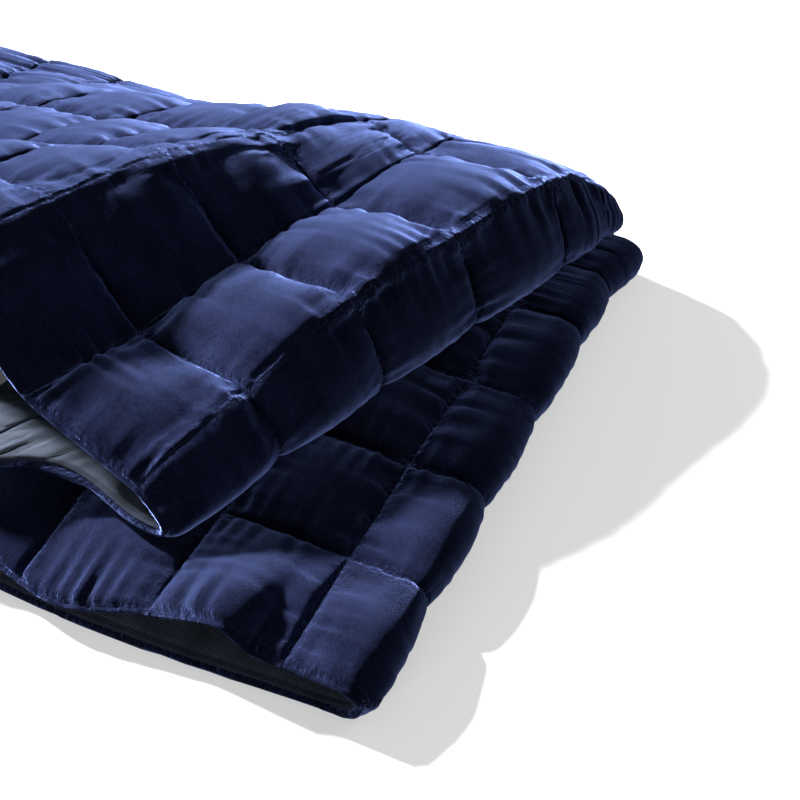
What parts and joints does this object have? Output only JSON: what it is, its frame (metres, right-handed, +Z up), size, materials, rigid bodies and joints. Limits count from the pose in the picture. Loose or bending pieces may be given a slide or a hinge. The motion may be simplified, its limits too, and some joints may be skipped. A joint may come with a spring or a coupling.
{
  "type": "quilted throw blanket",
  "caption": "Square-quilted velvet throw with a woven lining, lying in loose back-and-forth folds with a humped top layer and pushed-together back edge.",
  "frame": {"origin": "middle of the pile's box, on the floor", "axes": "+Z up from the floor; +X towards the lower pair's fold at the right; +Y from the front hems to the back"},
  "size_m": [1.2742, 0.8521, 0.2696],
  "materials": {
    "velvet": "dark blue pile velvet",
    "lining": "matt grey-blue plain weave"
  },
  "bodies": {
    "root": {"quilted_velvet": "velvet", "woven_lining": "lining"}
  },
  "joints": []
}
